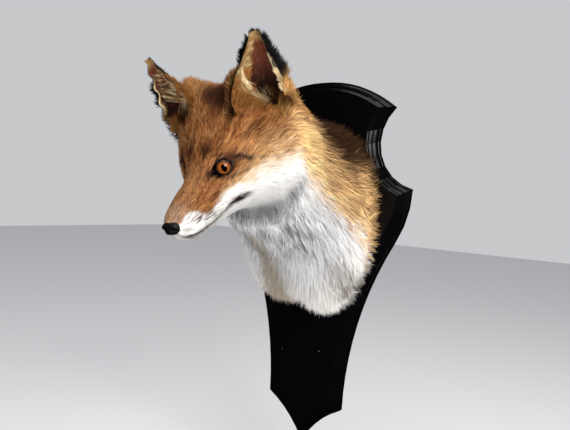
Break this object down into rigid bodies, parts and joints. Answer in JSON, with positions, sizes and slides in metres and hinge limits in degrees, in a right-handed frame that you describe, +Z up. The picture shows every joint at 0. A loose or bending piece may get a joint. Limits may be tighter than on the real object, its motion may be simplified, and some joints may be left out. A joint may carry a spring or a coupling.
{
  "type": "taxidermy fox head mount",
  "caption": "Head-and-shoulder mount of a red fox, muzzle lowered and head slightly turned, on a black shield-shaped wall plaque with a moulded edge.",
  "frame": {"origin": "centre of the plaque's flat back face, on the wall", "axes": "+Z up, +Y into the wall, the fox facing -Y, +X to its left side"},
  "size_m": [0.249, 0.2681, 0.4505],
  "materials": {
    "fur_red": "soft red-brown fox fur",
    "fur_pale": "soft white fur with grey streaks",
    "ear_skin": "dried ear skin with short fur",
    "nose_leather": "black, slightly shiny, finely pebbled",
    "eye_glass": "amber glass eye with a dark pupil",
    "black_lacquer": "satin black lacquer",
    "pin_metal": "dull small pin head"
  },
  "bodies": {
    "root": {"head": "fur_red", "neck": "fur_red", "shoulders": "fur_pale", "lower_jaw": "fur_pale", "ear_left": "ear_skin", "ear_right": "ear_skin", "nose": "nose_leather", "eye_left": "eye_glass", "eye_right": "eye_glass", "plaque": "black_lacquer", "pin_left": "pin_metal", "pin_right": "pin_metal"}
  },
  "joints": []
}
